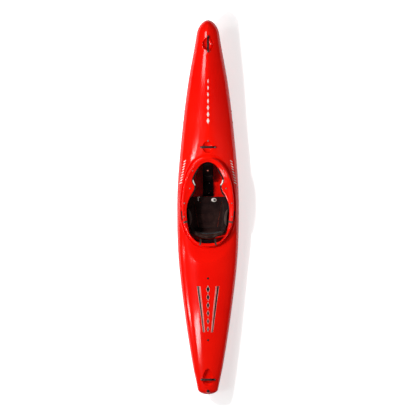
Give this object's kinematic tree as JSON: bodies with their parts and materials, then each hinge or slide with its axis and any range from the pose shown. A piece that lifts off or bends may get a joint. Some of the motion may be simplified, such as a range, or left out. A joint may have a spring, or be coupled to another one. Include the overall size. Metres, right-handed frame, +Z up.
{
  "type": "whitewater kayak",
  "caption": "Long red whitewater kayak with a moulded cockpit rim, thigh flanges, three grab handles, drain plug and a fitted cockpit: seat, backband, thigh braces and foot rest.",
  "frame": {"origin": "under the middle of the boat's length, at the height of the hull's lowest point", "axes": "+Y towards the bow, +X towards the paddler's right side, +Z up"},
  "size_m": [0.6104, 3.6587, 0.3998],
  "materials": {
    "hull_plastic": "semi-gloss moulded polyethylene",
    "black_plastic": "moulded, fine grain",
    "foam": "closed-cell foam",
    "cover_fabric": "woven, stitched",
    "grey_webbing": "ribbed webbing",
    "steel": "satin stainless",
    "white_plastic": "moulded",
    "rubber": "matte"
  },
  "bodies": {
    "boat": {"hull_shell": "hull_plastic", "bow_handle": "black_plastic", "bow_handle_bolt_front": "steel", "bow_handle_bolt_rear": "steel", "mid_handle": "black_plastic", "mid_handle_bolt_left": "steel", "mid_handle_bolt_right": "steel", "stern_handle": "black_plastic", "stern_handle_bolt_left": "steel", "stern_handle_bolt_right": "steel", "front_pillar": "foam", "bow_pillar": "foam", "rear_pillar": "foam", "rear_pillar_screw_front": "black_plastic", "rear_pillar_screw_rear": "black_plastic", "front_pillar_screw": "black_plastic", "thigh_bolt_front_left": "steel", "thigh_bolt_rear_left": "steel", "hanger_bolt_front_left": "steel", "hanger_bolt_rear_left": "steel", "thigh_bolt_front_right": "steel", "thigh_bolt_rear_right": "steel", "hanger_bolt_front_right": "steel", "hanger_bolt_rear_right": "steel", "thigh_brace_left": "black_plastic", "thigh_pad_left": "foam", "thigh_brace_right": "black_plastic", "thigh_pad_right": "foam", "seat_hanger_left": "black_plastic", "seat_hanger_right": "black_plastic", "backband_pin_left": "steel", "backband_pin_right": "steel", "backband_strap_left": "grey_webbing", "backband_strap_right": "grey_webbing", "side_tape_left": "grey_webbing", "ratchet_left": "black_plastic", "side_tape_right": "grey_webbing", "ratchet_right": "black_plastic", "foot_rail_left": "black_plastic", "foot_rail_bolt_rear_left": "steel", "foot_rail_bolt_front_left": "steel", "foot_rail_right": "black_plastic", "foot_rail_bolt_rear_right": "steel", "foot_rail_bolt_front_right": "steel", "floor_rail": "foam"},
    "drain_gasket": {"drain_gasket": "rubber"},
    "drain_plug": {"drain_plug": "black_plastic"},
    "seat": {"seat_pan": "black_plastic", "seat_pad": "cover_fabric", "hip_pad_left": "foam", "hip_pad_right": "foam", "thigh_strap": "grey_webbing", "thigh_strap_buckle": "white_plastic", "thigh_strap_hook": "white_plastic"},
    "backband": {"backband_shell": "black_plastic", "backband_pad": "cover_fabric"},
    "ratchet_lever_left": {"ratchet_lever_left": "black_plastic"},
    "ratchet_lever_right": {"ratchet_lever_right": "black_plastic"},
    "foot_bulkhead": {"foot_plate": "black_plastic", "foot_plate_pad": "foam"}
  },
  "joints": [
    {"name": "drain_plug_lift", "type": "slide", "parent": "boat", "child": "drain_gasket", "axis": [0, 0, 1], "range_m": [0, 0.009]},
    {"name": "drain_plug_turn", "type": "hinge", "parent": "drain_gasket", "child": "drain_plug", "pos_m": [0, -1.789, 0.266], "axis": [0, 0, 1], "range_deg": [0, 1080]},
    {"name": "seat_trim", "type": "slide", "parent": "boat", "child": "seat", "axis": [0, 1, 0], "range_m": [-0.018, 0.018]},
    {"name": "backband_tilt", "type": "hinge", "parent": "boat", "child": "backband", "pos_m": [0, -0.232, 0.15], "axis": [1, 0, 0], "range_deg": [-12, 3]},
    {"name": "left_ratchet_lever", "type": "hinge", "parent": "boat", "child": "ratchet_lever_left", "pos_m": [-0.20167, -0.10705, 0.2505], "axis": [0, 0, 1], "range_deg": [0, 50]},
    {"name": "right_ratchet_lever", "type": "hinge", "parent": "boat", "child": "ratchet_lever_right", "pos_m": [0.20167, -0.10705, 0.2505], "axis": [0, 0, -1], "range_deg": [0, 50]},
    {"name": "foot_rest_slide", "type": "slide", "parent": "boat", "child": "foot_bulkhead", "axis": [0, 1, 0], "range_m": [0, 0.1]}
  ],
  "couplings": [
    {"joint": "drain_plug_lift", "follows": "drain_plug_turn", "m_per_rad": 0.000477}
  ]
}
